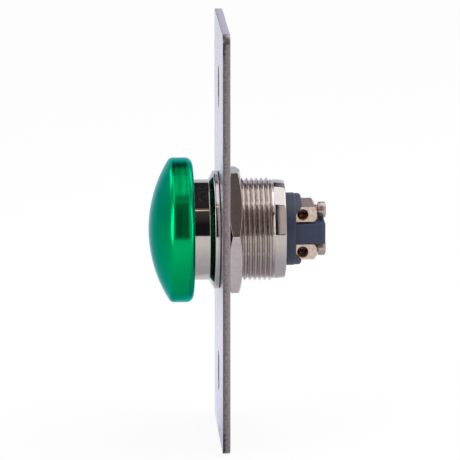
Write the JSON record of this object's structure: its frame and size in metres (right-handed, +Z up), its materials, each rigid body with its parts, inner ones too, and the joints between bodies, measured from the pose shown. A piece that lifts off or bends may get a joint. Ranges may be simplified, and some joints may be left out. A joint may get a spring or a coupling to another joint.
{
  "type": "door exit button",
  "caption": "Door exit push button: green mushroom push on a threaded metal barrel, held in a narrow steel wall plate by a hexagon nut, with clamp terminals at the rear.",
  "frame": {"origin": "centre of the plate's rear face, on the push axis, midway between the two fixing slots", "axes": "+Z up along the plate, -Y out to the user, +Y back into the wall box, X across the plate"},
  "size_m": [0.036, 0.0377, 0.09],
  "materials": {
    "plate_steel": "brushed",
    "barrel_nickel": "polished nickel plate",
    "nut_nickel": "nickel plate",
    "cap_green": "satin anodised green",
    "gasket_rubber": "matt",
    "stem_steel": "turned",
    "bush_plastic": "moulded",
    "spring_steel": "drawn wire",
    "contact_brass": "stamped",
    "contact_silver": "silver tip",
    "base_plastic": "moulded blue-grey",
    "terminal_metal": "dull nickel plate over brass",
    "screw_nickel": "nickel plate"
  },
  "bodies": {
    "housing": {"face_plate": "plate_steel", "barrel": "barrel_nickel", "bezel_gasket": "gasket_rubber", "lock_nut": "nut_nickel", "stem_bush": "bush_plastic", "return_spring": "spring_steel", "fixed_contact_tips": "contact_silver", "contact_base": "base_plastic", "contact_stud_upper": "contact_brass", "contact_stud_lower": "contact_brass", "terminal_block_upper": "terminal_metal", "terminal_block_lower": "terminal_metal", "terminal_screw_upper": "screw_nickel", "terminal_screw_lower": "screw_nickel"},
    "push": {"mushroom_cap": "cap_green", "actuator_stem": "stem_steel", "stem_seal": "gasket_rubber", "stem_clip": "spring_steel", "contact_carrier": "bush_plastic", "contact_spring": "spring_steel", "contact_bridge": "contact_brass", "moving_contact_tips": "contact_silver"}
  },
  "joints": [
    {"name": "push_slide", "type": "slide", "parent": "housing", "child": "push", "axis": [0, 1, 0], "range_m": [0, 0.0028], "stiffness_N_per_m": 600, "springref_m": -0.005, "deforming": ["return_spring"]}
  ]
}
